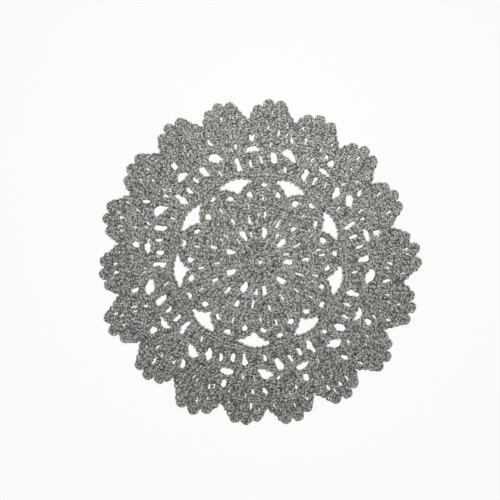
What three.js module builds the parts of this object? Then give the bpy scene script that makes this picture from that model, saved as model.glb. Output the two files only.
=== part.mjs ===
// A round crochet table centre of marled grey cotton, worked from the middle outwards and laid flat.
// Millimetres, +Z up, the underside at Z = 0 and the origin at the middle of the outline.
// A turn is an angle in degrees, clockwise from +Y as seen from above.
import * as THREE from 'three';

const { clamp, degToRad, euclideanModulo, lerp, seededRandom, smoothstep } = THREE.MathUtils;

// Colour and finish of the yarn
const YARN_GREY = 0x858580;
const YARN_ROUGHNESS = 0.95;

// Section of the work: flat below and above, with edges that round off like a strand of yarn
const THICKNESS = 5;
const EDGE_DRAW = 0.6;
const LEVELS = [
  { height: 0, draw: EDGE_DRAW },
  { height: THICKNESS / 2, draw: 0 },
  { height: THICKNESS, draw: EDGE_DRAW },
];

// The work has nine repeats, and two edge fans to each
const FULL_TURN = 360;
const REPEAT = FULL_TURN / 9;
const FAN = REPEAT / 2;

// Where the rounds lie: the ring and the petals are both a little off the middle of the outline
const RING_CENTRE = new THREE.Vector2(0.1, -1.6);
const PETAL_CENTRE = new THREE.Vector2(-2.2, -0.8);
const PETAL_CENTRE_FROM = 35;

// The outer rounds lie less evenly than the inner ones: this is where they start to stray, and stray fully
const STRAY_FROM = 100;
const STRAY_FULL = 160;

// Hand-made unevenness of each gap
const WORKING_SEED = 11;
const UNEVEN_PLACE = 0.8;
const UNEVEN_SIZE = 0.1;
const UNEVEN_LEAN = 6;

// Gaps between the stitches, round by round from the middle. Each row is one gap and its repeats:
// the radius and turn of its middle, its length and width, the lean of its length from the spoke
// (positive where the outer end leans clockwise) and its taper (positive where it widens outwards).
const GAP_POINT_SPACING = 4;
const FEWEST_GAP_POINTS = 6;
const GAPS = [
  // Ring
  { every: FULL_TURN, radius: 0, turn: 0, long: 4.2, wide: 4.2, lean: 0, taper: 0 },
  // Paired posts around the ring
  { every: REPEAT, radius: 34.2, turn: 9.8, long: 11.2, wide: 5.4, lean: -13, taper: 0.3 },
  // Shells
  { every: REPEAT, radius: 49.1, turn: 27.7, long: 9.7, wide: 4, lean: 0, taper: 0 },
  { every: REPEAT, radius: 55.3, turn: 7.3, long: 5.2, wide: 3.7, lean: 0, taper: 0.2 },
  // Petals
  { every: REPEAT, radius: 73.7, turn: 4.6, long: 5.4, wide: 3.2, lean: -18, taper: 0 },
  { every: REPEAT, radius: 78.2, turn: 32.6, long: 7.8, wide: 6, lean: 10, taper: 0 },
  { every: REPEAT, radius: 79.6, turn: 15.5, long: 7.4, wide: 4, lean: -48, taper: 0 },
  { every: REPEAT, radius: 90.4, turn: 4, long: 5.9, wide: 3.6, lean: 75, taper: 0 },
  // Posts on the chain arches
  { every: REPEAT, radius: 114.2, turn: 28.4, long: 15.7, wide: 7.5, lean: -7, taper: 0 },
  { every: REPEAT, radius: 121.7, turn: 8.9, long: 12.4, wide: 6.6, lean: -30, taper: 0 },
  { every: REPEAT, radius: 115.6, turn: 35.5, long: 7.7, wide: 3.4, lean: -6, taper: 0 },
  { every: REPEAT, radius: 119.2, turn: 2.3, long: 7.3, wide: 3, lean: -25, taper: 0 },
  { every: REPEAT, radius: 111.7, turn: 16.5, long: 5.6, wide: 2.6, lean: -27, taper: 0 },
  // Chain spaces under the fans
  { every: REPEAT, radius: 129.3, turn: 17, long: 18, wide: 8.6, lean: -62, taper: 0 },
  { every: REPEAT, radius: 131.6, turn: 37.5, long: 17, wide: 5.6, lean: 83, taper: 0 },
  // Edge fans
  { every: REPEAT, radius: 146.3, turn: 38, long: 9.4, wide: 6.7, lean: 0, taper: 0 },
  { every: REPEAT, radius: 148.6, turn: 17.5, long: 8.8, wide: 3.6, lean: -33, taper: 0 },
  { every: FAN, radius: 156.8, turn: 6, long: 4.3, wide: 3, lean: 0, taper: 0 },
  { every: FAN, radius: 165, turn: 13.5, long: 7, wide: 3.1, lean: -45, taper: 0 },
];

// The openings between two petals and the chain arch over them: bounded by the arch's inner edge, which
// drops towards its ends and lies lower at its clockwise one, and by the round heads of the two petals
const OPENING_TURN = 23.8;
const ARCH_RADIUS = 99.4;
const ARCH_DROP = 3.3;
const ARCH_LEAN = 0.9;
const ARCH_HALF_TURN = 10.2;
const ARCH_STEPS = 6;
const PETAL_HEAD_RADIUS = 29.4;
const PETAL_HEAD_AT = 67.6;
const PETAL_HEAD_TURN = REPEAT / 2;
const FLANK_STEPS = 4;

// The edge fans as they lie: the turn and radius of the notch before each, and the radius it reaches
const FIRST_NOTCH = 16.6;
const EDGE_FANS = [
  { notchTurn: 14, notchRadius: 167.7, reach: 183.7 },
  { notchTurn: 35, notchRadius: 162, reach: 182.8 },
  { notchTurn: 55, notchRadius: 160.5, reach: 179.4 },
  { notchTurn: 75.5, notchRadius: 159.7, reach: 189.2 },
  { notchTurn: 98.5, notchRadius: 171.1, reach: 190.1 },
  { notchTurn: 119, notchRadius: 167.1, reach: 191.8 },
  { notchTurn: 138.5, notchRadius: 171.2, reach: 190.9 },
  { notchTurn: 158, notchRadius: 169.3, reach: 193.6 },
  { notchTurn: 177.5, notchRadius: 175, reach: 191.8 },
  { notchTurn: 195.5, notchRadius: 174.7, reach: 197.7 },
  { notchTurn: 216.5, notchRadius: 172.9, reach: 193.3 },
  { notchTurn: 236, notchRadius: 172, reach: 197.7 },
  { notchTurn: 256.5, notchRadius: 172.6, reach: 188.7 },
  { notchTurn: 277, notchRadius: 170, reach: 192.1 },
  { notchTurn: 297, notchRadius: 173.4, reach: 190.8 },
  { notchTurn: 317, notchRadius: 174.8, reach: 194 },
  { notchTurn: 336.5, notchRadius: 172.7, reach: 191.1 },
  { notchTurn: 355, notchRadius: 167.3, reach: 190.7 },
];
const EVEN_NOTCH_RADIUS = 170;
const EVEN_REACH = 190.1;

// The edge of one even fan: three round picots, then a straight slope down to the next notch
const PICOT_RADIUS = 5.6;
const PICOT_STEPS = 4;
const PICOTS = [
  { turn: 4.4, tip: 184.5, from: -75, to: 55 },
  { turn: 8.5, tip: 191.2, from: -80, to: 70 },
  { turn: 13.1, tip: 190.4, from: -70, to: 85 },
];
const SLOPE_TURN = 16.8;
const SLOPE_RADIUS = 176.5;
const TIP_SHARE = 0.54;

/** A signed random share of an amount, the same in every run. */
function uneven(amount) {
  return amount * (2 * seededRandom() - 1);
}

/** The unit vector that points outwards at a turn. */
function spoke(turn) {
  return new THREE.Vector2(Math.sin(degToRad(turn)), Math.cos(degToRad(turn)));
}

/** How far a notch lies clockwise of its even place. */
function notchLag(index) {
  const row = EDGE_FANS[index % EDGE_FANS.length];
  return row.notchTurn - FIRST_NOTCH - FAN * (index % EDGE_FANS.length);
}

/** How far the edge lies out of its even place at a turn: its share of the even radius, and its lag. */
function edgeStray(turn) {
  const place = euclideanModulo(turn - FIRST_NOTCH, FULL_TURN) / FAN;
  const index = Math.floor(place) % EDGE_FANS.length;
  const share = place - Math.floor(place);
  const fan = EDGE_FANS[index];
  const next = EDGE_FANS[(index + 1) % EDGE_FANS.length];
  const tip = fan.reach / EVEN_REACH;
  const before = fan.notchRadius / EVEN_NOTCH_RADIUS;
  const after = next.notchRadius / EVEN_NOTCH_RADIUS;
  const rising = share < TIP_SHARE;
  const stretch = rising
    ? lerp(before, tip, share / TIP_SHARE)
    : lerp(tip, after, (share - TIP_SHARE) / (1 - TIP_SHARE));
  return { stretch, lag: lerp(notchLag(index), notchLag(index + 1), share) };
}

/** Lays a point of the even pattern where the finished work has it. */
function lay(radius, turn) {
  const loose = smoothstep(radius, STRAY_FROM, STRAY_FULL);
  const { stretch, lag } = edgeStray(turn);
  const centre = RING_CENTRE.clone().lerp(PETAL_CENTRE, clamp(radius / PETAL_CENTRE_FROM, 0, 1));
  centre.multiplyScalar(1 - loose);
  return spoke(turn + loose * lag).multiplyScalar(radius * lerp(1, stretch, loose)).add(centre);
}

/** One gap between stitches: a closed oval, tapered and leaning as its row says. */
function gapLoop(row, turn) {
  const nudge = row.radius > 0 ? UNEVEN_PLACE : 0;
  const radius = row.radius + uneven(nudge);
  const swing = row.radius > 0 ? uneven(nudge / degToRad(row.radius)) : 0;
  const middle = lay(radius, turn + swing);
  const lean = row.lean + uneven(UNEVEN_LEAN);
  const grow = 1 + uneven(UNEVEN_SIZE);
  const along = spoke(turn + lean);
  const across = spoke(turn + lean + FULL_TURN / 4);
  const around = (Math.PI * (row.long + row.wide)) / 2;
  const length = Math.max(FEWEST_GAP_POINTS, Math.round(around / GAP_POINT_SPACING));
  return Array.from({ length }, (_, index) => {
    const phase = (2 * Math.PI * index) / length;
    const lengthways = (grow * row.long * Math.cos(phase)) / 2;
    const sideways = (grow * row.wide * Math.sin(phase) * (1 + row.taper * Math.cos(phase))) / 2;
    return middle.clone().addScaledVector(along, lengthways).addScaledVector(across, sideways);
  });
}

/** The radius at which a petal's round head crosses a spoke that is some degrees off its own. */
function petalHeadRadius(offTurn) {
  const level = PETAL_HEAD_AT * Math.cos(degToRad(offTurn));
  const side = PETAL_HEAD_AT * Math.sin(degToRad(offTurn));
  return level + Math.sqrt(PETAL_HEAD_RADIUS ** 2 - side ** 2);
}

/** One opening between two petals: along the arch, then down one petal's flank and up the other's. */
function openingLoop(turn) {
  const grow = 1 + uneven(UNEVEN_SIZE);
  const half = ARCH_HALF_TURN * grow;
  const points = [];
  for (let step = 0; step <= ARCH_STEPS; step += 1) {
    const share = (2 * step) / ARCH_STEPS - 1;
    points.push(lay(ARCH_RADIUS - ARCH_DROP * share ** 2 - ARCH_LEAN * share, turn + half * share));
  }
  for (let step = 0; step <= 2 * FLANK_STEPS; step += 1) {
    const off = half * (1 - step / FLANK_STEPS);
    points.push(lay(petalHeadRadius(PETAL_HEAD_TURN - Math.abs(off)), turn + off));
  }
  return points;
}

/** The even fan's edge as laid, from its notch to just before the next one. */
function fanEdge(notchTurn) {
  const points = [lay(EVEN_NOTCH_RADIUS, notchTurn)];
  for (const picot of PICOTS) {
    const middle = lay(picot.tip - PICOT_RADIUS, notchTurn + picot.turn);
    for (let step = 0; step <= PICOT_STEPS; step += 1) {
      const facing = notchTurn + picot.turn + lerp(picot.from, picot.to, step / PICOT_STEPS);
      points.push(middle.clone().addScaledVector(spoke(facing), PICOT_RADIUS));
    }
  }
  points.push(lay(SLOPE_RADIUS, notchTurn + SLOPE_TURN));
  return points;
}

/** Moves a loop into the material on its left, by the same amount all round. */
function drawnIn(loop, amount) {
  return loop.map((point, index) => {
    const before = loop[(index + loop.length - 1) % loop.length];
    const after = loop[(index + 1) % loop.length];
    const way = after.clone().sub(before).normalize();
    return point.clone().add(new THREE.Vector2(-way.y, way.x).multiplyScalar(amount));
  });
}

/** Turns a loop so that the material lies on its left: the edge runs anticlockwise, a gap clockwise. */
function facing(loop, isEdge) {
  return THREE.ShapeUtils.isClockWise(loop) === isEdge ? loop.slice().reverse() : loop;
}

/** Closes one face of the work between its edge and its gaps, wound anticlockwise from above. */
function faceTriangles(loops) {
  const points = loops.flat();
  return THREE.ShapeUtils.triangulateShape(loops[0].slice(), loops.slice(1)).map(([a, b, c]) => {
    const clockwise = THREE.ShapeUtils.isClockWise([points[a], points[b], points[c]]);
    return clockwise ? [a, c, b] : [a, b, c];
  });
}

/** The closed slab between an edge and its gaps, with its walls drawn in level by level. */
function openworkSlab(edge, gaps) {
  const loops = [facing(edge, true), ...gaps.map((gap) => facing(gap, false))];
  const perLevel = loops.flat().length;
  const drawn = LEVELS.map(({ draw }) => loops.map((loop) => drawnIn(loop, draw)));
  const position = drawn.flatMap((level, index) =>
    level.flat().flatMap((point) => [point.x, point.y, LEVELS[index].height]),
  );
  const top = (LEVELS.length - 1) * perLevel;
  const faces = [
    ...faceTriangles(drawn[0]).map(([a, b, c]) => [a, c, b]),
    ...faceTriangles(drawn[LEVELS.length - 1]).map((triangle) => triangle.map((corner) => corner + top)),
  ];
  for (let level = 0; level < LEVELS.length - 1; level += 1) {
    let start = level * perLevel;
    for (const loop of loops) {
      for (let index = 0; index < loop.length; index += 1) {
        const low = start + index;
        const lowNext = start + ((index + 1) % loop.length);
        faces.push([low, lowNext, lowNext + perLevel], [low, lowNext + perLevel, low + perLevel]);
      }
      start += loop.length;
    }
  }
  const geometry = new THREE.BufferGeometry();
  geometry.setAttribute('position', new THREE.Float32BufferAttribute(position, 3));
  geometry.setIndex(faces.flat());
  geometry.computeVertexNormals();
  return geometry;
}

/** Every turn of a row's repeats around the work. */
function repeats(turn, every) {
  return Array.from({ length: FULL_TURN / every }, (_, index) => turn + every * index);
}

seededRandom(WORKING_SEED);
const gaps = [
  ...GAPS.flatMap((row) => repeats(row.turn, row.every).map((turn) => gapLoop(row, turn))),
  ...repeats(OPENING_TURN, REPEAT).map(openingLoop),
];
const edge = repeats(FIRST_NOTCH, FAN).flatMap(fanEdge);

const yarn = new THREE.MeshStandardMaterial({
  color: YARN_GREY,
  roughness: YARN_ROUGHNESS,
  metalness: 0,
  flatShading: true,
});
const doily = new THREE.Mesh(openworkSlab(edge, gaps), yarn);
doily.name = 'crochet_doily';

const tableCentre = new THREE.Group();
tableCentre.add(doily);

export default tableCentre;
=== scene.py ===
"""Visual model of a round crochet table centre, with its yarn laid strand by strand over the flat solid.

Charts are in millimetres, as radius and turn, which is degrees clockwise from +Y seen from above. Meshes
are in metres.
"""

from __future__ import annotations

import logging
from dataclasses import dataclass, field
from enum import Enum
from functools import partial
from typing import Any, Callable, Mapping, Sequence

import bpy
import numpy as np
from bpy.types import ID, Material, Node, NodeSocket, NodeTree, Object
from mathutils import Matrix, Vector
from mathutils.geometry import delaunay_2d_cdt

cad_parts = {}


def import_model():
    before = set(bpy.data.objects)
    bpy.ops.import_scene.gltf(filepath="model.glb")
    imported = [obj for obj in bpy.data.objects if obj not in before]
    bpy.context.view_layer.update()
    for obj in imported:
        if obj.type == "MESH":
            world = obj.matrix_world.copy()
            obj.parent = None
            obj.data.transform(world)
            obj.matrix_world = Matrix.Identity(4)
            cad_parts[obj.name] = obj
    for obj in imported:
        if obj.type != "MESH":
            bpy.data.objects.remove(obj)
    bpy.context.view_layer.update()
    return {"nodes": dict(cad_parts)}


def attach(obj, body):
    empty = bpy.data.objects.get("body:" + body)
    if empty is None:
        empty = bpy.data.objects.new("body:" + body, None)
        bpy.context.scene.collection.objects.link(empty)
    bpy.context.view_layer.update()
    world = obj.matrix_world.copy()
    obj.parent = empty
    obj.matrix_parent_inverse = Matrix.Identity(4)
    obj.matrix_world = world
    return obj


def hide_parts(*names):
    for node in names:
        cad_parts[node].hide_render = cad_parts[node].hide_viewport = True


Array = np.ndarray
Pair = tuple[float, float]
Floats = tuple[float, ...]
Places = tuple[Pair, ...]
LOG = logging.getLogger("crochet")
NODE = "crochet_doily"
BODY = "root"
YARN_MAP = "yarn"
BAKE_MAP = "OFBake"
SEED = 5
MM = 0.001
TINY = 1e-9
FEWEST_POINTS = 4
# Makes the triangulation leave out what lies outside the loops.
INSIDE_ONLY = 1
# Large tables of distances are worked out in this many parts, to spare memory.
PARTS = 40
# Degrees: a repeat of the middle rounds, an edge fan, the first notch between fans and petal axis.
REPEAT = 40.0
FAN = 20.0
FIRST_NOTCH = 16.6
PETAL_AXIS = 3.7
# Turns all the way round: in close steps, where the repeats start, and the notch before each fan.
TURNS = np.arange(0.0, 360.0, 0.5)
REPEATS = np.arange(0.0, 360.0, REPEAT)
FANS = FIRST_NOTCH + np.arange(0.0, 360.0, FAN)


class Ends(Enum):
    """Whether a length of yarn runs into itself or stops."""

    OPEN = "open"
    CLOSED = "closed"


def linear(colour: str) -> tuple[float, float, float, float]:
    """Turns an sRGB hex colour into linear light.

    Args:
        colour: six hex digits after a hash sign.

    Returns:
        Red, green, blue and an alpha of one.
    """
    parts = np.array([int(colour[i : i + 2], 16) for i in (1, 3, 5)]) / 255
    light = np.where(parts <= 0.04045, parts / 12.92, ((parts + 0.055) / 1.055) ** 2.4)
    return (*map(float, light), 1.0)


def unit(vectors: Array) -> Array:
    """Returns the vectors at length one."""
    return vectors / np.maximum(np.linalg.norm(vectors, axis=-1, keepdims=True), TINY)


def across(line: Array) -> Array:
    """Returns the directions to the right of travel along flat lines of shape (lines, points, 2)."""
    heading = unit(np.gradient(line, axis=1))
    return np.stack([heading[..., 1], -heading[..., 0]], axis=-1)


def sides_of(triangles: Array) -> Array:
    """Returns the three sides of all triangles as pairs of points."""
    return np.concatenate([triangles[:, [k, (k + 1) % 3]] for k in range(3)])


def relaxed(line: Array, passes: int, ends: Ends) -> Array:
    """Evens out flat lines by moving each point halfway to the middle of its neighbours.

    Args:
        line: points of shape (lines, points, 2).
        passes: how often that is done.
        ends: closed lines have a neighbour past each end; open ones keep their end points.

    Returns:
        Points of the same shape.
    """
    for _ in range(passes):
        middle = (np.roll(line, 1, axis=1) + np.roll(line, -1, axis=1)) / 2
        moved = (line + middle) / 2
        if ends is Ends.OPEN:
            moved[:, [0, -1]] = line[:, [0, -1]]
        line = moved
    return line


def spaced(line: Array, step: float, ends: Ends) -> Array:
    """Sets points at even distances along flat lines.

    Args:
        line: points of shape (lines, points, 2).
        step: distance between points on the mean line.
        ends: a closed line comes back to its first point.

    Returns:
        Points of shape (lines, new points, 2), the same number on each line.
    """
    if ends is Ends.CLOSED:
        line = np.concatenate([line, line[:, :1]], axis=1)
    gone = np.cumsum(np.linalg.norm(np.diff(line, axis=1), axis=2), axis=1)
    gone = np.concatenate([np.zeros((len(line), 1)), gone], axis=1)
    count = max(FEWEST_POINTS, round(float(gone[:, -1].mean()) / step))
    share = np.linspace(0, 1, count, endpoint=ends is Ends.OPEN)
    rows = [
        np.stack([np.interp(share * g[-1], g, p[:, k]) for k in (0, 1)], axis=-1)
        for g, p in zip(gone, line)
    ]
    return np.array(rows)


def within(points: Array, start: Array, end: Array) -> Array:
    """Tells which flat points lie inside closed loops, by counting the edges to their right.

    Args:
        points: flat points.
        start: first points of the loops' edges.
        end: last points of the edges.

    Returns:
        True for each point with an odd count.
    """
    rise = end[:, 1] - start[:, 1]
    slope = (end[:, 0] - start[:, 0]) / np.where(rise == 0, 1, rise)
    counts = []
    for part in np.array_split(points, PARTS):
        x, y = part[:, :1], part[:, 1:]
        passed = (start[:, 1] > y) != (end[:, 1] > y)
        counts.append((passed & (x < start[:, 0] + slope * (y - start[:, 1]))).sum(axis=1))
    return np.concatenate(counts) % 2 == 1


def shown(data: ID) -> Object:
    """Puts a mesh, lamp or camera into the scene as an object of its name, and reports it.

    Args:
        data: the mesh, lamp or camera.

    Returns:
        The new object.
    """
    made = bpy.data.objects.new(data.name, data)
    bpy.context.scene.collection.objects.link(made)
    if made.type == "MESH":
        LOG.info("%s: %d triangles", data.name, len(data.loops) - 2 * len(data.polygons))
    return made


@dataclass(frozen=True)
class Fan:
    """One edge fan as it lies: the notch before it and how far it reaches."""

    notch_turn: float
    notch_radius: float
    reach: float


@dataclass(frozen=True)
class Lay:
    """How the even chart lies on the table: the middle a little off, and each edge fan in its own way."""

    fans: tuple[Fan, ...] = (
        Fan(14, 167.7, 183.7),
        Fan(35, 162, 182.8),
        Fan(55, 160.5, 179.4),
        Fan(75.5, 159.7, 189.2),
        Fan(98.5, 171.1, 190.1),
        Fan(119, 167.1, 191.8),
        Fan(138.5, 171.2, 190.9),
        Fan(158, 169.3, 193.6),
        Fan(177.5, 175, 191.8),
        Fan(195.5, 174.7, 197.7),
        Fan(216.5, 172.9, 193.3),
        Fan(236, 172, 197.7),
        Fan(256.5, 172.6, 188.7),
        Fan(277, 170, 192.1),
        Fan(297, 173.4, 190.8),
        Fan(317, 174.8, 194),
        Fan(336.5, 172.7, 191.1),
        Fan(355, 167.3, 190.7),
    )
    ring_centre: Pair = (0.1, -1.6)
    petal_centre: Pair = (-2.2, -0.8)
    petal_centre_from: float = 35.0
    stray_from: float = 100.0
    stray_full: float = 160.0
    even_notch: float = 170.0
    even_reach: float = 190.1
    tip_share: float = 0.54

    def place(self, radius: Array, turn: Array) -> Array:
        """Lays chart points on the table.

        Past stray_from a point takes on, more and more, its fan's own lag in turn and its own stretch in
        radius, both read between the fan's notch, its tip and the next notch.

        Args:
            radius: chart radii.
            turn: chart turns, of a shape that goes with the radii.

        Returns:
            Points with x and y on the last axis.
        """
        radius, turn = np.broadcast_arrays(np.asarray(radius, float), np.asarray(turn, float))
        fans = np.array([(f.notch_turn, f.notch_radius, f.reach) for f in self.fans])
        lags = fans[:, 0] - FIRST_NOTCH - FAN * np.arange(len(fans))
        along = ((turn - FIRST_NOTCH) % 360) / FAN
        here = np.floor(along).astype(int) % len(fans)
        after = (here + 1) % len(fans)
        share = along - np.floor(along)
        notch = fans[:, 1] / self.even_notch
        tip = fans[:, 2] / self.even_reach
        rising = share / self.tip_share
        falling = (share - self.tip_share) / (1 - self.tip_share)
        up = notch[here] + (tip[here] - notch[here]) * rising
        down = tip[here] + (notch[after] - tip[here]) * falling
        stretch = np.where(share < self.tip_share, up, down)
        lag = lags[here] + (lags[after] - lags[here]) * share
        loose = np.clip((radius - self.stray_from) / (self.stray_full - self.stray_from), 0, 1)
        loose = loose * loose * (3 - 2 * loose)
        angle = np.radians(turn + loose * lag)
        reach = radius * (1 + (stretch - 1) * loose)
        mixed = np.clip(radius / self.petal_centre_from, 0, 1)[..., None]
        centre = np.array(self.ring_centre) * (1 - mixed) + np.array(self.petal_centre) * mixed
        spoke = np.stack([np.sin(angle), np.cos(angle)], axis=-1)
        return spoke * reach[..., None] + centre * (1 - loose)[..., None]

    def repeats(self, radius: float | Sequence[float], turn: Sequence[float], starts: Array) -> Array:
        """Lays the chart points of one repeat, in order of turn, all round the work from each start."""
        turns = starts[:, None] + np.asarray(turn)
        return self.place(np.broadcast_to(radius, turns.shape).ravel(), turns.ravel())


@dataclass
class Solid:
    """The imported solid's points and triangles, joined, in millimetres."""

    points: Array
    triangles: Array
    join_digits: int = 3
    level_slack: float = 0.05
    wall_tilt: float = 0.9

    @classmethod
    def read(cls, node: Object) -> Solid:
        """Reads a CAD node's loose triangles and joins the points that lie together.

        Args:
            node: the CAD node, which is left as it is.

        Returns:
            The joined solid.
        """
        mesh = node.data
        mesh.calc_loop_triangles()
        places = np.empty(len(mesh.vertices) * 3)
        mesh.vertices.foreach_get("co", places)
        corners = np.empty(len(mesh.loop_triangles) * 3, dtype=np.int32)
        mesh.loop_triangles.foreach_get("vertices", corners)
        world = np.array(node.matrix_world)
        places = places.reshape(-1, 3) @ world[:3, :3].T + world[:3, 3]
        joined, back = np.unique(np.round(places / MM, cls.join_digits), axis=0, return_inverse=True)
        return cls(joined, back.reshape(-1)[corners].reshape(-1, 3))

    @property
    def facing(self) -> Array:
        """The way each triangle faces, at twice its area."""
        a, b, c = (self.points[self.triangles[:, k]] for k in range(3))
        return np.cross(b - a, c - a)

    @property
    def flat_area(self) -> float:
        """The work's flat area in square metres, from the upward faces."""
        up = self.facing[:, 2] / 2
        return float(up[up > 0].sum()) * MM * MM

    def rims(self) -> tuple[Array, Array, Array, Array]:
        """Finds the closed loops at mid height, where the walls stand out furthest.

        Returns:
            The loops' flat points, their edges as pairs of points, and each point's way out of the solid
            and number of its loop.
        """
        level = self.points[:, 2]
        on = np.abs(level - (level.min() + level.max()) / 2) < self.level_slack
        edges = sides_of(self.triangles)
        edges = np.unique(np.sort(edges[on[edges].all(axis=1)], axis=1), axis=0)
        normal = unit(self.facing)
        wall = np.abs(normal[:, 2]) < self.wall_tilt
        outward = np.zeros_like(self.points)
        for k in range(3):
            np.add.at(outward, self.triangles[wall, k], normal[wall])
        edges = (np.cumsum(on) - 1)[edges]
        return self.points[on][:, :2], edges, unit(outward[on][:, :2]), self.loops(on.sum(), edges)

    @staticmethod
    def loops(count: int, edges: Array) -> Array:
        """Numbers closed loops of edges.

        Each point starts with its own number, and the lower number spreads along every edge until nothing
        changes.

        Args:
            count: how many points there are.
            edges: pairs of points.

        Returns:
            The loop's number for each point.
        """
        number = np.arange(count)
        while True:
            least = number[edges].min(axis=1)
            spread = number.copy()
            np.minimum.at(spread, edges[:, 0], least)
            np.minimum.at(spread, edges[:, 1], least)
            spread = spread[spread]
            if (spread == number).all():
                return number
            number = spread


@dataclass(frozen=True)
class Round:
    """A round of tall stitches: flat points where each starts and ends, in order round the work."""

    foot: Array
    head: Array
    widest: float = 2.4
    fullness: float = 1.0


@dataclass
class Gaps:
    """The openwork gaps, each as an uneven oval that strands are kept out of.

    Each oval has its short and its long direction as the columns of axes, and its half lengths along them.
    Slits are narrow gaps between neighbouring posts.
    """

    centres: Array
    axes: Array
    halves: Array
    phases: Array
    longest: float = 11.0
    waver: float = 0.23
    taper: float = 0.28
    deepest: float = 0.12
    slit_share: float = 0.32
    slit_half: Pair = (2.25, 3.4)
    slit_vary: Pair = (0.7, 1.3)
    slit_rise: Pair = (0.35, 0.7)
    slit_neighbours: float = 8.5
    slit_clear: float = 2.0
    slit_from: float = 26.0

    @classmethod
    def read(cls, solid: Solid, rng: np.random.Generator) -> Gaps:
        """Fits an oval to each loop of the solid, apart from the large ones, by the spread of its points.

        Args:
            solid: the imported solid.
            rng: source of the ovals' unevenness.

        Returns:
            The gaps.
        """
        rim, _, _, number = solid.rims()
        centres, axes, halves = [], [], []
        for loop in np.unique(number):
            points = rim[number == loop]
            spread, directions = np.linalg.eigh(np.cov(points.T))
            half = np.sqrt(2 * spread)
            if half.max() < cls.longest:
                centres.append(points.mean(axis=0))
                axes.append(directions)
                halves.append(half)
        phases = rng.uniform(0, 2 * np.pi, (len(centres), 2))
        return cls(np.array(centres), np.array(axes), np.array(halves), phases)

    def slits(self, rounds: Sequence[Round], rim: Array, rng: np.random.Generator) -> Gaps:
        """Chooses slits between neighbouring posts, some way up them and clear of the solid's loops.

        Args:
            rounds: the rounds of posts.
            rim: points of the solid's loops.
            rng: source of the choice.

        Returns:
            The slits.
        """
        foot, head = (
            np.concatenate([np.stack([x, np.roll(x, -1, axis=0)], axis=1) for x in ends])
            for ends in ([r.foot for r in rounds], [r.head for r in rounds])
        )
        apart = np.maximum(*(np.linalg.norm(x[:, 1] - x[:, 0], axis=1) for x in (foot, head)))
        rise = head.mean(axis=1) - foot.mean(axis=1)
        centres = foot.mean(axis=1) + rise * rng.uniform(*self.slit_rise, (len(rise), 1))
        clear = np.linalg.norm(centres[:, None] - rim[None], axis=2).min(axis=1)
        kept = rng.uniform(0, 1, len(rise)) < self.slit_share
        kept &= (apart < self.slit_neighbours) & (clear > self.slit_half[1] + self.slit_clear)
        kept &= np.linalg.norm(centres, axis=1) > self.slit_from
        long = unit(rise[kept])
        axes = np.stack([np.stack([long[:, 1], -long[:, 0]], axis=-1), long], axis=-1)
        halves = np.array(self.slit_half) * rng.uniform(*self.slit_vary, (len(long), 2))
        return Gaps(centres[kept], axes, halves, rng.uniform(0, 2 * np.pi, (len(long), 2)))

    def joined(self, more: Gaps) -> Gaps:
        """Returns these gaps and more in one."""
        pairs = zip(*((g.centres, g.axes, g.halves, g.phases) for g in (self, more)))
        return Gaps(*map(np.concatenate, pairs))

    def outlines(self, margin: float, count: int = 8) -> tuple[Array, Array]:
        """Sets points round the ovals.

        Args:
            margin: how far outside an oval they stand.
            count: points for each oval.

        Returns:
            The points, and their edges as pairs of points.
        """
        angle = np.arange(count) * 2 * np.pi / count
        local = np.stack([np.cos(angle), np.sin(angle)], axis=-1) * (self.halves + margin)[:, None]
        points = self.centres[:, None] + local @ self.axes.transpose(0, 2, 1)
        first = np.arange(len(local))[:, None] * count + np.arange(count)
        edges = np.stack([first, np.roll(first, -1, axis=1)], axis=-1)
        return points.reshape(-1, 2), edges.reshape(-1, 2)

    def part(self, points: Array, margin: float, passes: int = 2) -> Array:
        """Moves points that lie in a gap out to its rim, straight away from its middle.

        The rim is an oval that is wider by taper at its outer end, and whose reach wavers by
        waver * (sin(3a + p) + sin(4a + q)) round the gap, so that it has blunt corners.

        Args:
            points: flat points, x and y on the last axis.
            margin: how far past the rim they are kept.
            passes: how often all gaps are gone through.

        Returns:
            Points of the same shape.
        """
        flat = points.reshape(-1, 2).copy()
        ovals = list(zip(self.centres, self.axes, self.halves, self.phases))
        for centre, axes, half, (three, four) in ovals * passes:
            reach = half + margin
            near = np.nonzero(np.abs(flat - centre).max(axis=1) < reach.max() * (1 + self.taper))[0]
            local = (flat[near] - centre) @ axes
            lean = centre @ axes[:, 1] / max(float(np.linalg.norm(centre)), 1.0)
            scaled = local / reach
            scaled[:, 0] /= 1 + self.taper * lean * np.clip(scaled[:, 1], -1, 1)
            angle = np.arctan2(scaled[:, 1], scaled[:, 0])
            waver = self.waver * (np.sin(3 * angle + three) + np.sin(4 * angle + four))
            deep = np.linalg.norm(scaled, axis=1) / (1 + waver)
            inside = deep < 1
            moved = local[inside] / np.maximum(deep[inside], self.deepest)[:, None]
            flat[near[inside]] = centre + moved @ axes.T
        return flat.reshape(points.shape)


@dataclass(frozen=True)
class Yarn:
    """Sizes of the yarn and of the stitches worked in it.

    Strands start anywhere along a ball. A cell of the bake map keeps bake_edge free at its two sides.
    """

    radius: float = 1.3
    sides: int = 6
    ball: float = 900.0
    bake_edge: float = 0.02
    middle: float = 2.5
    relax_passes: int = 3
    post_step: float = 0.68
    post_points: int = 6
    post_strands: int = 2
    post_bar: float = 2.7
    post_swing: float = 0.9
    post_deep: float = 0.9
    post_narrowest: float = 0.5
    post_overlap: float = 0.05
    post_share: float = 0.69
    post_knot: float = 5.8
    post_dent: float = 0.45
    post_sink: float = 1.4
    gap_clear: float = -0.4
    gap_post: float = 1.0
    chain_step: float = 1.35
    chain_link: float = 7.0
    chain_spread: float = 1.75
    chain_swing: float = 0.7
    chain_lean: float = 0.6
    chain_level: float = 3.4
    chain_rise: float = 0.7


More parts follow.
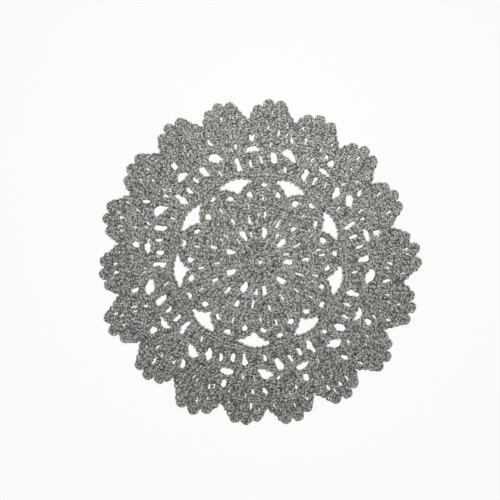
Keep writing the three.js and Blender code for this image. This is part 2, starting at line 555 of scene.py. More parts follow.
@dataclass
class Strands:
    """Lengths of yarn that together become one mesh of round tubes."""

    yarn: Yarn
    rng: np.random.Generator
    points: list[Array] = field(default_factory=list)
    faces: list[Array] = field(default_factory=list)
    along: list[Array] = field(default_factory=list)
    slots: list[Array] = field(default_factory=list)
    count: int = 0
    cells: int = 0

    def add(self, lines: Array, ends: Ends) -> None:
        """Sweeps a round section along strands.

        A section's points stand at centre + radius * (cos a * side + sin a * lift), where side is level and
        square to the strand, and lift is square to both. Open ends are shut.

        Args:
            lines: centre points of shape (strands, points, 3).
            ends: whether the strands run into themselves.
        """
        strands, count, _ = lines.shape
        sides = self.yarn.sides
        closed = ends is Ends.CLOSED
        if closed:
            heading = unit(np.roll(lines, -1, axis=1) - np.roll(lines, 1, axis=1))
        else:
            heading = unit(np.gradient(lines, axis=1))
        side = unit(np.cross(heading, np.array([0.0, 0.0, 1.0])))
        lift = np.cross(side, heading)
        angle = np.arange(sides) * 2 * np.pi / sides
        ring = side[:, :, None] * np.cos(angle)[:, None] + lift[:, :, None] * np.sin(angle)[:, None]
        body = lines[:, :, None] + ring * self.yarn.radius
        gone = np.linalg.norm(np.roll(lines, -1, axis=1) - lines, axis=2)
        start = np.concatenate([np.zeros((strands, 1)), np.cumsum(gone, axis=1)], axis=1)
        start = start + self.rng.uniform(0, self.yarn.ball, (strands, 1))
        here = np.arange(count if closed else count - 1)
        first = self.count + np.arange(strands) * count * sides
        number = first[:, None, None] + np.arange(count * sides).reshape(count, sides)
        low, high = number[:, here], number[:, (here + 1) % count]
        walls = np.stack([low, high, np.roll(high, -1, axis=2), np.roll(low, -1, axis=2)], axis=-1)
        near, far = start[:, here, None], start[:, here + 1, None]
        below = np.arange(sides) / sides
        above = below + 1 / sides
        corners = (near, below, far, below, far, above, near, above)
        wall_map = np.stack(np.broadcast_arrays(*corners), axis=-1)
        self._keep(walls, wall_map)
        if not closed:
            self._shut(first, first + (count - 1) * sides, start)
        self.points.append(body.reshape(-1, 3))
        self.count += strands * count * sides

    def _shut(self, first: Array, last: Array, start: Array) -> None:
        """Shuts the ends of open strands with a strip of quads each.

        Args:
            first: number of each strand's first point.
            last: number of the first point of its last section.
            start: places along the yarn of its sections.
        """
        sides = self.yarn.sides
        step = np.arange(sides // 2 - 1)
        strip = np.stack([sides - 1 - step, step, step + 1, sides - 2 - step], axis=-1)
        for begin, order, place in ((first, strip, start[:, 0]), (last, strip[:, ::-1], start[:, -2])):
            caps = begin[:, None, None] + order[None]
            cap_map = np.stack(np.broadcast_arrays(place[:, None, None], order / sides), axis=-1)
            self._keep(caps, cap_map)

    def _keep(self, faces: Array, along: Array) -> None:
        """Stores faces, and gives each ring of faces or end a cell in the bake map.

        Args:
            faces: four points for each face, with the faces of a cell on the last axis but one.
            along: places along and around the yarn of their corners.
        """
        cell, slot = np.divmod(np.arange(faces.size // 4), faces.shape[-2])
        self.slots.append(np.stack([self.cells + cell, slot], axis=-1))
        self.cells += int(cell[-1]) + 1
        self.faces.append(faces.reshape(-1, 4))
        self.along.append(along.reshape(-1, 4, 2))

    def bake_map(self) -> Array:
        """Lays every face of the tubes side by side in a square, row by row, with no overlap.

        Returns:
            Corner places of shape (faces, 4, 2), from 0 to 1.
        """
        cell, around = np.concatenate(self.slots).T
        sides, edge = self.yarn.sides, self.yarn.bake_edge
        used = 1 - 2 * edge
        girth = 2 * np.pi * self.yarn.radius
        columns = int(np.ceil(np.sqrt(self.cells * girth / self.yarn.chain_step)))
        rows = int(np.ceil(self.cells / columns))
        low = np.stack([cell % columns, cell // columns + edge + used * around / sides], axis=-1)
        size = np.array([1.0, used / sides])
        corners = np.array([(0, 0), (1, 0), (1, 1), (0, 1)])
        return (low[:, None] + corners * size) / np.array([columns, rows])

    def mesh(self, name: str) -> Object:
        """Makes one smooth mesh of all the strands, with the yarn map and the bake map.

        Args:
            name: the piece's name.

        Returns:
            The new mesh object.
        """
        data = bpy.data.meshes.new(name)
        faces = np.concatenate(self.faces).astype(np.int32)
        points = np.concatenate(self.points) * MM
        data.vertices.add(len(points))
        data.vertices.foreach_set("co", points.astype(np.float32).ravel())
        data.loops.add(faces.size)
        data.loops.foreach_set("vertex_index", faces.ravel())
        data.polygons.add(len(faces))
        data.polygons.foreach_set("loop_start", np.arange(0, faces.size, 4, dtype=np.int32))
        along = np.concatenate(self.along) * np.array([MM, 1.0])
        for title, places in ((YARN_MAP, along), (BAKE_MAP, self.bake_map())):
            layer = data.uv_layers.new(name=title)
            layer.uv.foreach_set("vector", places.astype(np.float32).ravel())
        data.update(calc_edges=True)
        data.validate()
        data.shade_smooth()
        return shown(data)


@dataclass
class Hand:
    """Works stitches: turns charted posts, chains and picots into strands that keep clear of the gaps."""

    lay: Lay
    gaps: Gaps
    yarn: Yarn
    rng: np.random.Generator
    strands: Strands
    unsteady: float = 0.6

    def posts(self, work: Round) -> None:
        """Works a round of tall stitches, each a rope of strands that wind about a line from foot to head.

        A strand stands wide * swing * (cos(a) + cos(3a) / 9) to the side of the line, an even zigzag's first
        two terms, which make straight bars, and middle + deep * sin(a) up. The angle a grows so that a strand
        crosses the post's front every post_bar. Posts are as wide as their neighbours leave them. At about
        every post_knot they are drawn in by up to post_dent, and sink with it.

        Args:
            work: where the stitches stand and how wide each may get.
        """
        yarn = self.yarn
        foot, head = (x + self.rng.normal(0, self.unsteady, x.shape) for x in (work.foot, work.head))
        length = np.linalg.norm(head - foot, axis=1)
        whole = float(length.mean()) * (1 + 2 * yarn.post_overlap)
        steps = max(yarn.post_points, round(whole / yarn.post_step))
        share = np.linspace(-yarn.post_overlap, 1 + yarn.post_overlap, steps)
        line = foot[:, None] + (head - foot)[:, None] * share[:, None]
        near, far = (self.room(x, work)[:, None] for x in (foot, head))
        knots = np.maximum(1, np.round(length / yarn.post_knot))[:, None]
        knots = knots * share + self.rng.uniform(0, 1, (len(foot), 1))
        drawn = yarn.post_dent * (1 - np.abs(np.sin(np.pi * knots))) ** 2
        wide = (near + (far - near) * share) * (1 - drawn)
        moved = self.gaps.part(line, yarn.gap_post)
        line = line + relaxed(moved - line, yarn.relax_passes, Ends.OPEN)
        sideways = across(line)
        turns = (length / (yarn.post_bar * yarn.post_strands))[:, None, None] * share[:, None]
        strand = np.arange(yarn.post_strands) / yarn.post_strands
        angle = 2 * np.pi * (self.rng.uniform(0, 1, (len(foot), 1, 1)) + turns + strand)
        bar = yarn.post_swing * (np.cos(angle) + np.cos(3 * angle) / 9)
        flat = line[:, :, None] + sideways[:, :, None] * (wide[:, :, None] * bar)[..., None]
        flat = self.gaps.part(flat, yarn.gap_clear)
        drawn = drawn[..., None]
        level = yarn.middle + yarn.post_deep * (1 - drawn) * np.sin(angle) - yarn.post_sink * drawn
        points = np.concatenate([flat, level[..., None]], axis=-1)
        points = points.transpose(0, 2, 1, 3).reshape(-1, steps, 3)
        self.strands.add(points, Ends.OPEN)

    def room(self, points: Array, work: Round) -> Array:
        """Finds the half width of each post from the nearer of its neighbours.

        Args:
            points: the posts' feet or heads, in order round the work.
            work: how wide each may get.

        Returns:
            Half widths, from the narrowest post to the round's widest.
        """
        after = np.linalg.norm(np.roll(points, -1, axis=0) - points, axis=1)
        space = np.minimum(after, np.roll(after, 1))
        half = work.fullness * self.yarn.post_share * space - self.yarn.radius
        return np.clip(half, self.yarn.post_narrowest, work.widest)

    def chain(
        self, lines: Array, ends: Ends, size: float = 1.0, raised: float = 0.0, calm: float = 1.0
    ) -> None:
        """Works a chain along lines: two strands side by side that swing out and rise once in each link.

        A strand stands spread + swing * cos(a + lean * sin(a)) to its side and level + rise * cos(a) up,
        where a grows by one whole turn in each link, so that the pairs make a row of slanted V shapes.

        Args:
            lines: flat points of shape (lines, points, 2).
            ends: whether the lines run into themselves.
            size: width and link length of the chain beside the usual one.
            raised: how far it lies above the usual level.
            calm: how far its links swing out beside the usual.
        """
        yarn = self.yarn
        lines = spaced(lines, yarn.chain_step * size, ends)
        moved = self.gaps.part(lines, size * yarn.chain_spread + yarn.gap_clear)
        lines = lines + relaxed(moved - lines, yarn.relax_passes, ends)
        if ends is Ends.CLOSED:
            sideways = across(np.concatenate([lines[:, -1:], lines, lines[:, :1]], axis=1))[:, 1:-1]
        else:
            sideways = across(lines)
        total = np.linalg.norm(np.diff(lines, axis=1), axis=2).sum(axis=1).mean()
        links = max(1, round(float(total) / (yarn.chain_link * size)))
        share = np.linspace(0, 1, lines.shape[1], endpoint=ends is Ends.OPEN)
        angle = 2 * np.pi * (links * share + self.rng.uniform(0, 1, (len(lines), 1)))
        lean = np.cos(angle + yarn.chain_lean * np.sin(angle))
        swing = size * (yarn.chain_spread + calm * yarn.chain_swing * lean)
        level = yarn.chain_level + raised + yarn.chain_rise * np.cos(angle)
        level = np.minimum(level, 2 * yarn.middle - yarn.radius)
        for hand in (-1, 1):
            flat = self.gaps.part(lines + sideways * (hand * swing)[..., None], yarn.gap_clear)
            self.strands.add(np.concatenate([flat, level[..., None]], axis=-1), ends)

    def chain_round(self, radius: float | Array, raised: float = 0.0, size: float = 1.0) -> None:
        """Works a chain all the way round, at one radius or at one for each of the close turns."""
        self.chain(self.lay.place(radius, TURNS)[None], Ends.CLOSED, size, raised)


@dataclass
class Piece:
    """A part of the work that is shown as one mesh."""

    name: str

    def dress(self, made: Object, finish: Material) -> None:
        """Gives the piece its finish and its body, and hides the CAD node that it stands in for.

        Args:
            made: the piece's mesh object.
            finish: its material.
        """
        made.data.materials.append(finish)
        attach(made, BODY)
        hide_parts(NODE)


@dataclass
class StitchPiece(Piece):
    """A part of the work that is worked in yarn."""

    def rounds(self, lay: Lay) -> list[Round]:
        """Lays the piece's rounds of tall stitches.

        Args:
            lay: how the chart lies on the table.

        Returns:
            The rounds, from the inside out.
        """
        return []

    def chains(self, hand: Hand) -> None:
        """Works the piece's chains.

        Args:
            hand: works the stitches.
        """
        raise NotImplementedError

    def build(self, lay: Lay, gaps: Gaps, yarn: Yarn, seed: int) -> Object:
        """Works the piece and makes its mesh.

        Args:
            lay: how the chart lies on the table.
            gaps: the openwork to keep clear of.
            yarn: sizes of the yarn and stitches.
            seed: start of the hand's small unevenness.

        Returns:
            The new mesh object.
        """
        rng = np.random.default_rng(seed)
        strands = Strands(yarn, rng)
        hand = Hand(lay, gaps, yarn, rng, strands)
        for work in self.rounds(lay):
            hand.posts(work)
        self.chains(hand)
        return strands.mesh(self.name)


@dataclass
class MiddleShells(StitchPiece):
    """The ring and the three rounds of shells about it."""

    name: str = "middle_shells"
    ring_radii: Floats = (4.2, 9.4)
    ring_levels: Floats = (0.7, -0.8)
    ring_size: float = 0.5
    feet: tuple[Floats, ...] = ((0.0, 20.0), (19.5, 29.8, 40.1), (-7.0, -1.2, 4.6, 10.4, 16.2, 22.0))
    heads: tuple[Floats, ...] = ((0.0, 20.0), (19.5, 29.8, 40.1), (-10.5, -4.0, 2.5, 12.1, 18.6, 25.1))
    radii: Places = ((9.0, 24.0), (26.0, 41.5), (43.0, 60.0))
    fullness: Floats = (1.3, 1.2, 1.2)
    chain_radii: Floats = (25.2, 42.4, 61.4)

    def rounds(self, lay: Lay) -> list[Round]:
        """Lays the three rounds of posts."""
        made = []
        for feet, heads, (low, high), fullness in zip(self.feet, self.heads, self.radii, self.fullness):
            foot, head = lay.repeats(low, feet, REPEATS), lay.repeats(high, heads, REPEATS)
            made.append(Round(foot, head, fullness=fullness))
        return made

    def chains(self, hand: Hand) -> None:
        """Works the ring, and the chain along the heads of each round."""
        for radius, raised in zip(self.ring_radii, self.ring_levels):
            hand.chain_round(radius, raised, self.ring_size)
        for radius in self.chain_radii:
            hand.chain_round(radius)


@dataclass
class Petals(StitchPiece):
    """The nine petals: a shell of posts, a second shell about its head, and a chain along the edge.

    Places in a petal are sideways off its axis and out from the middle of the work.
    """

    name: str = "petals"
    inner_feet: Places = ((2.4, 62.0), (7.2, 61.6), (12.2, 60.8), (17.4, 60.0))
    inner_heads: Places = ((3.6, 82.0), (9.8, 78.4), (15.8, 72.0), (21.2, 68.0))
    outer_feet: Places = ((4.4, 84.0), (10.6, 80.4), (16.6, 72.6))
    outer_heads: Places = ((8.4, 92.6), (18.6, 86.4), (25.0, 72.4))
    inner_chain: Places = ((4.2, 83.0), (10.2, 79.2), (16.0, 72.5), (21.5, 68.5))
    head_centre: float = 67.6
    edge_radius: float = 26.6
    edge_half_angle: float = 70.0
    edge_points: int = 60
    flank: Places = ((24.2, 74.0), (22.2, 69.0), (20.0, 64.0))

    @staticmethod
    def both_sides(half: Sequence[Pair]) -> Array:
        """Returns the places of one side of a petal after their mirror images, from side to side."""
        return np.concatenate([np.array(half)[::-1] * (-1, 1), np.array(half)])

    def laid(self, lay: Lay, places: Array) -> Array:
        """Lays places of one petal in all nine.

        Args:
            lay: how the chart lies on the table.
            places: points of shape (points, 2), sideways and out.

        Returns:
            Points of shape (petals, points, 2).
        """
        radius = np.linalg.norm(places, axis=1)
        turn = np.degrees(np.arctan2(places[:, 0], places[:, 1]))
        return lay.place(radius, REPEATS[:, None] + PETAL_AXIS + turn)

    def rounds(self, lay: Lay) -> list[Round]:
        """Lays the two shells."""
        made = []
        for pair in ((self.inner_feet, self.inner_heads), (self.outer_feet, self.outer_heads)):
            made.append(Round(*(self.laid(lay, self.both_sides(x)).reshape(-1, 2) for x in pair)))
        return made

    def chains(self, hand: Hand) -> None:
        """Works the chain between the shells, and the one along the edge: a round head and two flanks."""
        hand.chain(self.laid(hand.lay, self.both_sides(self.inner_chain)), Ends.OPEN)
        angle = np.radians(np.linspace(-self.edge_half_angle, self.edge_half_angle, self.edge_points))
        head = np.stack([np.sin(angle), np.cos(angle)], axis=-1) * self.edge_radius
        flank = np.array(self.flank)
        edge = np.concatenate([flank[::-1] * (-1, 1), head + (0, self.head_centre), flank])
        hand.chain(self.laid(hand.lay, edge), Ends.OPEN)


@dataclass
class ArchRound(StitchPiece):
    """The ring of chain arches that the petals hang in, and the round of leaning pairs of posts on it."""

    name: str = "arch_round"
    arch_turns: Floats = (3.7, 13.6, 18.7, 23.8, 28.9, 34.0)
    arch_radii: Floats = (99.6, 99.8, 101.9, 102.3, 101.0, 98.2)
    second_chain: float = 4.5
    feet: Floats = (6.9, 14.2, 20.6, 26.3, 32.2, 39.6)
    heads: Floats = (3.8, 11.4, 18.2, 24.6, 31.6, 38.2)
    pair: float = 2.4
    top_turns: Floats = (8.9, 17.0, 28.4, 37.5)
    top_radii: Floats = (131.0, 121.5, 126.0, 125.5)
    top_chain: float = 0.5

    def top(self, turn: Array) -> Array:
        """Returns the radius of the posts' heads at given turns."""
        return np.interp(turn, self.top_turns, self.top_radii, period=REPEAT)

    def arch(self, turn: Array) -> Array:
        """Returns the radius of the arches at given turns."""
        return np.interp(turn, self.arch_turns, self.arch_radii, period=REPEAT)

    def rounds(self, lay: Lay) -> list[Round]:
        """Lays the pairs of posts."""
        base = self.arch(np.array(self.feet)) + self.second_chain
        crown = self.top(np.array(self.heads))
        ends = []
        for radii, turns in ((base, self.feet), (crown, self.heads)):
            spread = np.degrees(self.pair * np.array([-1.0, 1.0]) / radii[:, None])
            either = (np.array(turns)[:, None] + spread).ravel()
            ends.append(lay.repeats(np.repeat(radii, 2), either, REPEATS))
        return [Round(*ends)]

    def chains(self, hand: Hand) -> None:
        """Works the arches and the chain along the posts' heads."""
        arch = self.arch(TURNS)
        for radius in (arch, arch + self.second_chain, self.top(TURNS) + self.top_chain):
            hand.chain_round(radius)


@dataclass
class FanRow(StitchPiece):
    """One row of the edge fans: posts that spread either side of each fan's middle, and the chain on them.

    The line of the heads has a radius at each of the knots, which are turns past the notch before a fan.
    """

    name: str
    below: Callable[[Array], Array]
    posts: int
    foot_spread: float
    head_spread: float
    knots: Floats
    radii: Floats
    head_shift: float = 0.0
    offset: float = 1.0
    raised: float = 0.0

    def top(self, turn: Array) -> Array:
        """Returns the radius of the row's heads at given turns."""
        return np.interp((turn - FIRST_NOTCH) % FAN, self.knots, self.radii, period=FAN)

    def rounds(self, lay: Lay) -> list[Round]:
        """Lays the row's posts in every fan."""
        share = np.linspace(-1, 1, self.posts)
        centre = (FANS + FAN / 2)[:, None]
        feet = (centre + share * self.foot_spread).ravel()
        heads = (centre + share * self.head_spread + self.head_shift).ravel()
        foot = lay.place(self.below(feet) + self.offset, feet)
        return [Round(foot, lay.place(self.top(heads) - self.offset, heads))]

    def chains(self, hand: Hand) -> None:
        """Works the chain along the row's heads."""
        hand.chain_round(self.top(TURNS), self.raised)


@dataclass
class Picots(StitchPiece):
    """Three short rings of chain on the edge of each fan."""

    name: str = "picots"
    turns: Floats = (4.4, 8.5, 13.1)
    tips: Floats = (184.2, 189.9, 189.1)
    reach: float = 7.1
    line: float = 4.3
    points: int = 24
    size: float = 0.8
    raised: float = 0.4
    calm: float = 0.4

    def chains(self, hand: Hand) -> None:
        """Works each picot about its middle."""
        centre = hand.lay.repeats(np.array(self.tips) - self.reach, self.turns, FANS)
        angle = np.linspace(0, 2 * np.pi, self.points, endpoint=False)
        ring = np.stack([np.sin(angle), np.cos(angle)], axis=-1) * self.line
        hand.chain(centre[:, None] + ring, Ends.CLOSED, self.size, self.raised, self.calm)


def fan_rows(below: Callable[[Array], Array]) -> list[FanRow]:
    """Charts the three rows of the edge fans, each worked on the heads of the one before.

    Args:
        below: gives the radius that the first row stands on at given turns.

    Returns:
        The rows, from the inside out.
    """
    first = FanRow(
        "fan_row_one", below, posts=8, foot_spread=4.6, head_spread=8.4,
        knots=(0, 5, 10, 15), radii=(138.5, 143, 144.5, 143),
    )
    second = FanRow(
        "fan_row_two", first.top, posts=10, foot_spread=7.6, head_spread=8.9,
        knots=(0, 4, 10, 16), radii=(154.5, 158.5, 161, 158.5),
    )
    third = FanRow(
        "fan_row_three", second.top, posts=11, foot_spread=8.5, head_spread=8.6,
        knots=(0, 1, 2.2, 4.4, 6.5, 8.5, 10.8, 13.1, 14.9, 16.3, 18),
        radii=(163.2, 165.8, 174.6, 175.6, 178, 181.4, 178.4, 181.4, 181.6, 174.2, 170.4),
        head_shift=-0.9, raised=-0.9,
    )
    return [first, second, third]


@dataclass
class Ground(Piece):
    """The close fibre between the strands, as a thin openwork sheet with the solid's outline and gaps."""

    name: str = "crochet_ground"
    drawn_in: float = 1.8
    edge_drawn_in: float = 3.6
    share_of_room: float = 0.38
    # Low enough that the yarn material's painted shade darkens the sheet.
    level: float = 1.9
    thickness: float = 1.0
    spacing: float = 3.0
    merge: float = 1e-5
    slit_margin: float = 0.4
    turns: float = 0.19

    def build(self, solid: Solid, slits: Gaps) -> Object:
        """Makes the sheet: the same triangles above and below, and a wall along every open edge.

        Args:
            solid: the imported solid.
            slits: narrow openings to leave as well.

        Returns:
            The new mesh object.
        """
        rim, edges = self.drawn(solid)
        cuts, cut_edges = slits.outlines(self.slit_margin)
        edges = np.concatenate([edges, cut_edges + len(rim)])
        flat, triangles = self.filled(np.concatenate([rim, cuts]), edges)
        count = len(flat)
        sides = sides_of(triangles)
        once = ~np.isin(sides[:, 0] * count + sides[:, 1], sides[:, 1] * count + sides[:, 0])
        start, end = sides[once].T
        corners = ((start, start + count, end + count), (start, end + count, end))
        walls = [np.stack(wall, axis=-1) for wall in corners]
        level = self.level + self.thickness * np.repeat([0.5, -0.5], count)
        points = np.concatenate([np.tile(flat, (2, 1)), level[:, None]], axis=1)
        faces = np.concatenate([triangles, triangles[:, ::-1] + count, *walls])
        data = bpy.data.meshes.new(self.name)
        data.from_pydata((points * MM).tolist(), [], faces.tolist())
        data.validate()
        corners = np.empty(len(data.loops), dtype=np.int32)
        data.loops.foreach_get("vertex_index", corners)
        along = points[corners][:, :2] * np.array([MM, self.turns])
        data.uv_layers.new(name=YARN_MAP).uv.foreach_set("vector", along.astype(np.float32).ravel())
        return shown(data)

    def drawn(self, solid: Solid) -> tuple[Array, Array]:
        """Draws the solid's loops in.

        Each point moves into the solid by drawn_in, or on the outline by edge_drawn_in so that the picots
        stand free. Where its share of the room to the next loop is less, it moves by that.

        Args:
            solid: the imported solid.

        Returns:
            The loops' flat points, and their edges as pairs of points.
        """
        rim, edges, outward, number = solid.rims()
        apart = np.linalg.norm(rim[:, None] - rim[None], axis=2)
        room = np.where(number[:, None] == number[None], np.inf, apart).min(axis=1)
        outline = number == number[np.linalg.norm(rim, axis=1).argmax()]
        most = np.where(outline, self.edge_drawn_in, self.drawn_in)
        return rim - outward * np.minimum(most, self.share_of_room * room)[:, None], edges

    def filled(self, rim: Array, edges: Array) -> tuple[Array, Array]:
        """Fills the space between loops with even triangles that face up.

        Args:
            rim: flat points of the loops.
            edges: their edges as pairs of points.

        Returns:
            The flat points, and the triangles.
        """
        seeds = np.concatenate([rim, self.inner_points(rim)]).tolist()
        made = delaunay_2d_cdt(list(map(Vector, seeds)), edges.tolist(), [], INSIDE_ONLY, self.merge)
        flat, triangles = np.array(made[0]), np.array(made[2])
        triangles = triangles[within(flat[triangles].mean(axis=1), rim[edges[:, 0]], rim[edges[:, 1]])]
        a, b, c = (flat[triangles[:, k]] for k in range(3))
        turned = np.cross(b - a, c - a) < 0
        triangles[turned] = triangles[turned][:, ::-1]
        return flat, triangles

    def inner_points(self, rim: Array) -> Array:
        """Sets points in even rows over the loops' box, apart from those close to a loop's points.

        Args:
            rim: flat points of the loops.

        Returns:
            The flat points.
        """
        low, high = rim.min(axis=0), rim.max(axis=0)
        rows = np.arange(low[1], high[1], self.spacing * np.sqrt(3) / 2)
        x, y = np.meshgrid(np.arange(low[0], high[0], self.spacing), rows)
        x = x + np.where(np.arange(len(rows)) % 2, self.spacing / 2, 0)[:, None]
        grid = np.stack([x.ravel(), y.ravel()], axis=-1)
        parts = np.array_split(grid, PARTS)
        near = [np.linalg.norm(part[:, None] - rim[None], axis=2).min(axis=1) for part in parts]
        return grid[np.concatenate(near) > self.spacing / 2]


def add_node(
    tree: NodeTree,
    kind: str,
    inputs: Mapping[int | str, Any] | None = None,
    stops: Sequence[tuple[float, str]] = (),
    **settings: Any,
) -> Node:
    """Adds a node with its settings and links.

    Args:
        tree: the node tree it goes in.
        kind: the node's type name.
        inputs: for each input a value, the output socket to link, or a node whose first output is linked.
        stops: places and sRGB colours of a colour ramp.
        settings: the node's own properties.

    Returns:
        The new node.
    """
    made = tree.nodes.new(kind)
    for key, value in settings.items():
        setattr(made, key, value)
    for key, value in (inputs or {}).items():
        source = value.outputs[0] if isinstance(value, Node) else value
        if isinstance(source, NodeSocket):
            tree.links.new(source, made.inputs[key])
        else:
            made.inputs[key].default_value = source
    for number, (place, colour) in enumerate(stops):
        ramp = made.color_ramp.elements
        stop = ramp[number] if number < 2 else ramp.new(place)
        stop.position = place
        stop.color = linear(colour)
    return made


def new_material(name: str) -> tuple[Material, NodeTree]:
    """Makes an empty material.

    Args:
        name: the material's name.

    Returns:
        The material and its node tree.
    """
    made = bpy.data.materials.new(name)
    made.use_nodes = True
    made.node_tree.nodes.clear()
    return made, made.node_tree


@dataclass(frozen=True)
class MarledCotton:
    """Matt marled cotton: a dark and a light ply twisted together, so that the work looks finely speckled.

    Sizes are in metres. Flecks are drawn much coarser than single fibres, so that they show. Hollows get
    painted shade: the colour is darkened lower down, because little light gets down between the strands.
    """

    dark: str = "#36372f"
    light: str = "#f6f6f0"
    between: str = "#b0b1a9"
    cool: str = "#ebe9ee"
    warm: str = "#ebebe8"
    dark_to: float = 0.395
    between_at: float = 0.5
    light_from: float = 0.605
    cool_to: float = 0.35
    warm_from: float = 0.65
    ply_turn: float = 0.0048
    twist_share: float = 0.06
    girth: float = 0.0013
    drawn_out: float = 1.15
    speck: float = 0.0015
    speck_detail: float = 2.0
    speck_roughness: float = 0.6
    speck_height: float = 0.5
    uneven: float = 0.01
    uneven_turns: float = 1.5
    patch: float = 0.022
    patch_detail: float = 1.0
    # Painted shade in the hollows: the colour's factor at height low and below, rising to one at high.
    painted_hollow_shade: float = 0.45
    low: float = 0.0022
    high: float = 0.0041
    relief: float = 0.6
    relief_depth: float = 0.0006
    roughness: float = 0.95
    sheen: float = 0.08
    specular: float = 0.2

    def build(self, name: str) -> Material:
        """Makes the material: the plies' colour, tinted in patches and with painted shade in the hollows.

        Args:
            name: the material's name.

        Returns:
            The new material.
        """
        made, tree = new_material(name)
        node = partial(add_node, tree)
        place = node("ShaderNodeTexCoord").outputs["Object"]
        noise = {"Vector": place, "Scale": 1 / self.patch, "Detail": self.patch_detail}
        patch = node("ShaderNodeTexNoise", noise)
        shade, height = self._twist(node)
        plies = ((self.dark_to, self.dark), (self.light_from, self.light), (self.between_at, self.between))
        colour = node("ShaderNodeValToRGB", {"Fac": shade}, plies).outputs[0]
        tints = ((self.cool_to, self.cool), (self.warm_from, self.warm))
        tint = node("ShaderNodeValToRGB", {"Fac": patch}, tints)
        # Painted shade: lower parts of the yarn and the ground sheet are darkened, more the lower they lie.
        level = node("ShaderNodeSeparateXYZ", {0: place}).outputs[2]
        span = {"Value": level, "From Min": self.low, "From Max": self.high, "To Min": self.painted_hollow_shade}
        lit = node("ShaderNodeMapRange", span)
        for layer in (tint, lit):
            parts = {0: 1.0, 6: colour, 7: layer}
            colour = node("ShaderNodeMix", parts, data_type="RGBA", blend_type="MULTIPLY").outputs[2]
        relief = {"Height": height, "Strength": self.relief, "Distance": self.relief_depth}
        shader = node(
            "ShaderNodeBsdfPrincipled",
            {
                "Base Color": colour,
                "Normal": node("ShaderNodeBump", relief),
                "Roughness": self.roughness,
                "Sheen Weight": self.sheen,
                "Specular IOR Level": self.specular,
            },
        )
        node("ShaderNodeOutputMaterial", {"Surface": shader})
        return made

    def _twist(self, node: Callable[..., Node]) -> tuple[Node, Node]:
        """Adds the twist of the plies, and the flecks that lie in it.

        The twist is the place around the yarn less one turn in each ply_turn along it, with some slack. The
        flecks are noise at (cos, sin) of the twist times girth, and drawn_out times the place along.

        Args:
            node: adds a node to the material.

        Returns:
            Nodes for the shade and for the height of the plies.
        """
        yarn = node("ShaderNodeSeparateXYZ", {0: node("ShaderNodeUVMap", uv_map=YARN_MAP)})
        along, around = yarn.outputs[0], yarn.outputs[1]
        twist = {0: along, 1: -1 / self.ply_turn, 2: around}
        even = node("ShaderNodeMath", twist, operation="MULTIPLY_ADD")
        noise = {"W": along, "Scale": 1 / self.uneven, "Detail": 0.0}
        slack = node("ShaderNodeTexNoise", noise, noise_dimensions="1D")
        turns = node("ShaderNodeMath", {0: slack, 1: self.uneven_turns, 2: even}, operation="MULTIPLY_ADD")
        angle = node("ShaderNodeMath", {0: turns, 1: 2 * np.pi}, operation="MULTIPLY")
        wave = node("ShaderNodeMath", {0: angle}, operation="SINE")
        level = node("ShaderNodeMath", {0: angle}, operation="COSINE")
        drawn = node("ShaderNodeMath", {0: along, 1: self.drawn_out / self.girth}, operation="MULTIPLY")
        twisted = node("ShaderNodeCombineXYZ", {0: level, 1: wave, 2: drawn})
        scaled = node("ShaderNodeVectorMath", {0: twisted, 3: self.girth}, operation="SCALE")
        noise = {"Scale": 1 / self.speck, "Detail": self.speck_detail, "Roughness": self.speck_roughness}
        flecks = node("ShaderNodeTexNoise", {"Vector": scaled, **noise})
        shade = node("ShaderNodeMath", {0: wave, 1: self.twist_share, 2: flecks}, operation="MULTIPLY_ADD")
        lobe = node("ShaderNodeMath", {0: wave}, operation="ABSOLUTE")
        relief = {0: flecks, 1: self.speck_height, 2: lobe}
        height = node("ShaderNodeMath", relief, operation="MULTIPLY_ADD")
        return shade, height


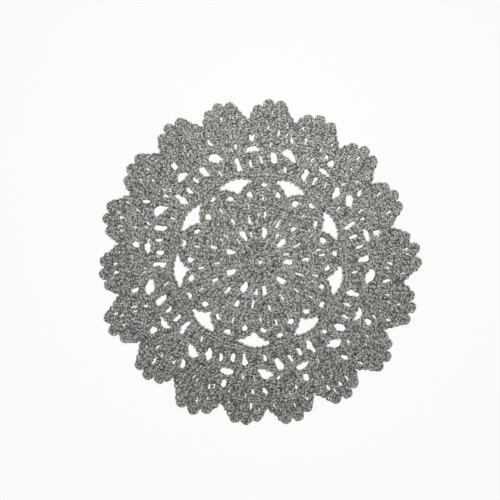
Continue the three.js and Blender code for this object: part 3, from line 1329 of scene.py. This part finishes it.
@dataclass
class Studio:
    """A plain white lit table, soft light from above, and a camera that looks straight down."""

    floor_size: float = 24.0
    floor_glow: float = 0.93
    floor_colour: str = "#404040"
    floor_light: str = "#fffffe"
    view_width: float = 0.585
    camera_height: float = 1.3
    camera_place: Pair = (-0.0123, 0.0128)
    sensor: float = 36.0
    sky: float = 0.29
    sky_colour: str = "#ffffff"
    lamp_power: float = 0.8
    lamp_size: float = 0.3
    lamp_spread: float = 54.0
    lamp_place: tuple[float, float, float] = (0.03, 0.5, 0.9)
    lamp_aim: tuple[float, float, float] = (0.01, 0.06, 0.0)

    def build(self) -> Object:
        """Makes the table, the light and the camera.

        Returns:
            The table.
        """
        half = self.floor_size / 2
        data = bpy.data.meshes.new("table_top")
        corners = [(-half, -half, 0), (half, -half, 0), (half, half, 0), (-half, half, 0)]
        data.from_pydata(corners, [], [(0, 1, 2, 3)])
        floor = shown(data)
        data.materials.append(self._white())
        self._light()
        self._camera()
        return floor

    def _white(self) -> Material:
        """Makes the white of a lit table, on which shadows stay faint.

        Returns:
            The new material.
        """
        made, tree = new_material("lit_white_table")
        shader = add_node(
            tree,
            "ShaderNodeBsdfPrincipled",
            {
                "Base Color": linear(self.floor_colour),
                "Roughness": 1.0,
                "Specular IOR Level": 0.0,
                "Emission Color": linear(self.floor_light),
                "Emission Strength": self.floor_glow,
            },
        )
        add_node(tree, "ShaderNodeOutputMaterial", {"Surface": shader})
        return made

    def _light(self) -> None:
        """Makes an even white sky and one large soft lamp."""
        scene = bpy.context.scene
        scene.view_settings.view_transform = "Standard"
        world = bpy.data.worlds.new("soft_sky")
        scene.world = world
        world.use_nodes = True
        back = world.node_tree.nodes["Background"]
        back.inputs["Color"].default_value = linear(self.sky_colour)
        back.inputs["Strength"].default_value = self.sky
        data = bpy.data.lights.new("softbox", "AREA")
        data.energy = self.lamp_power
        data.size = self.lamp_size
        data.spread = np.radians(self.lamp_spread)
        lamp = shown(data)
        lamp.location = self.lamp_place
        aim = np.array(self.lamp_aim) - np.array(self.lamp_place)
        lamp.rotation_euler = Vector(aim).to_track_quat("-Z", "Y").to_euler()

    def _camera(self) -> None:
        """Makes the camera straight above, with the photo's width of view at the table."""
        data = bpy.data.cameras.new("camera")
        data.sensor_width = self.sensor
        data.lens = self.sensor * self.camera_height / self.view_width
        camera = shown(data)
        camera.location = (*self.camera_place, self.camera_height)
        bpy.context.scene.camera = camera


def main() -> None:
    """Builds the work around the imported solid, dresses it and sets the scene."""
    logging.basicConfig(level=logging.INFO, format="%(name)s: %(message)s")
    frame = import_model()
    solid = Solid.read(frame["nodes"][NODE])
    lay, yarn, cotton = Lay(), Yarn(), MarledCotton()
    arches = ArchRound()
    pieces = [MiddleShells(), Petals(), arches, *fan_rows(arches.top), Picots()]
    rng = np.random.default_rng(SEED)
    gaps = Gaps.read(solid, rng)
    rounds = [work for piece in pieces for work in piece.rounds(lay)]
    slits = gaps.slits(rounds, solid.rims()[0], rng)
    LOG.info("%d gaps and %d slits to keep clear of", len(gaps.centres), len(slits.centres))
    gaps = gaps.joined(slits)
    stitches = [piece.build(lay, gaps, yarn, seed) for seed, piece in enumerate(pieces)]
    sheet = Ground()
    ground = sheet.build(solid, slits)
    finish = cotton.build("marled_cotton_yarn")
    for piece, made in zip((sheet, *pieces), (ground, *stitches)):
        piece.dress(made, finish)
    Studio().build()


if __name__ == "__main__":
    main()
